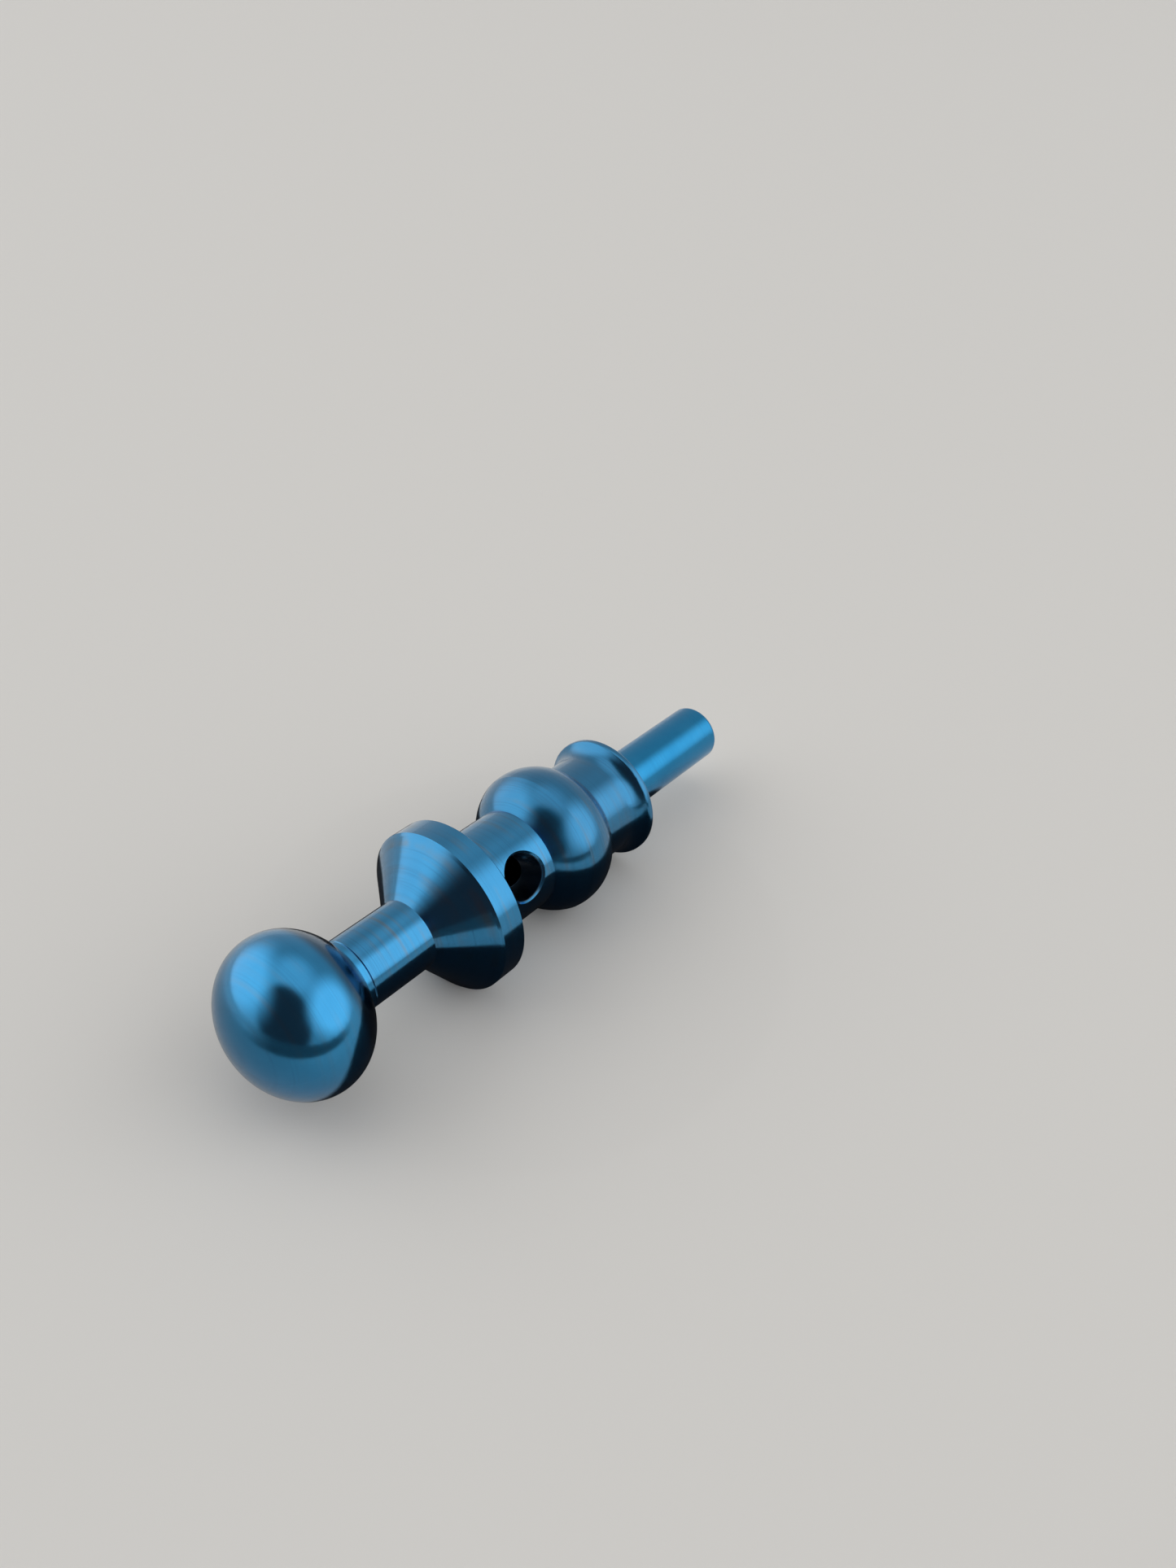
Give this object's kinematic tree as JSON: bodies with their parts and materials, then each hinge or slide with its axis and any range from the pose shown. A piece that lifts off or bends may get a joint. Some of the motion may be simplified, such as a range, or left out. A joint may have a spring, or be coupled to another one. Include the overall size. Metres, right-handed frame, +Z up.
{
  "type": "turned spindle toy",
  "caption": "Slender turned metal spindle with a ball knob, coned flange, cross-drilled waist for a string, rounded bulb, flared collar and a plain rear tube.",
  "frame": {"origin": "where the cross hole's axis meets the turning axis, in the middle of the waist", "axes": "+X along the turning axis from the knob to the rear tube; +Z up; the cross hole runs across X, 29 degrees above level on the -Y side"},
  "size_m": [0.054, 0.014, 0.014],
  "materials": {
    "polished_blue": "polished, blue anodised",
    "turned_blue": "fine-turned, blue anodised",
    "drawn_blue": "smooth, blue anodised"
  },
  "bodies": {
    "root": {"ball_knob": "polished_blue", "flange_body": "turned_blue", "bulb": "turned_blue", "lip_collar": "turned_blue", "rear_tube": "drawn_blue"}
  },
  "joints": []
}
